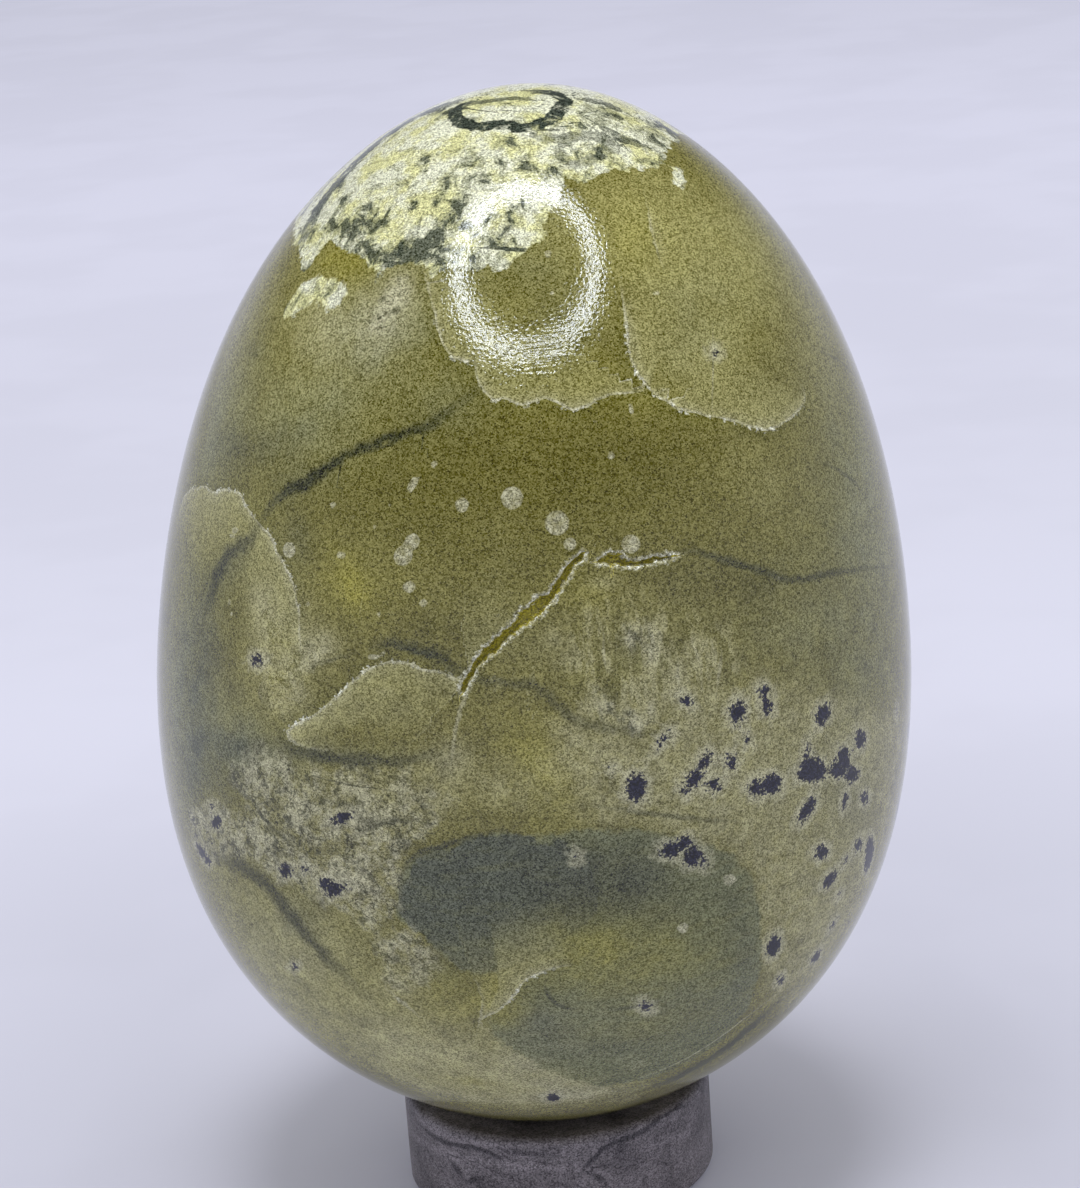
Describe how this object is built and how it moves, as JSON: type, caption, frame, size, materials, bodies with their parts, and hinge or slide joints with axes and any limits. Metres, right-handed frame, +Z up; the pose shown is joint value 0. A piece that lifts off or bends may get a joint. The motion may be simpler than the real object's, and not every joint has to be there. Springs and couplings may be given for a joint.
{
  "type": "decorative egg on stand",
  "caption": "Solid polished stone egg, blunt end down, resting in a short round stone ring that it lifts out of.",
  "frame": {"origin": "centre of the ring's foot, on the surface the ring stands on", "axes": "+Z up along the ring's bore, -Y towards the front, which has the open crack, +X to the viewer's right, the way the egg leans"},
  "size_m": [0.0505, 0.0504, 0.0757],
  "materials": {
    "green_stone": "polished",
    "grey_stone": "matt"
  },
  "bodies": {
    "stand": {"ring_stand": "grey_stone"},
    "egg": {"egg": "green_stone"}
  },
  "joints": [
    {"name": "egg_lift", "type": "slide", "parent": "stand", "child": "egg", "axis": [0, 0, 1], "range_m": [0, 0.03]}
  ]
}
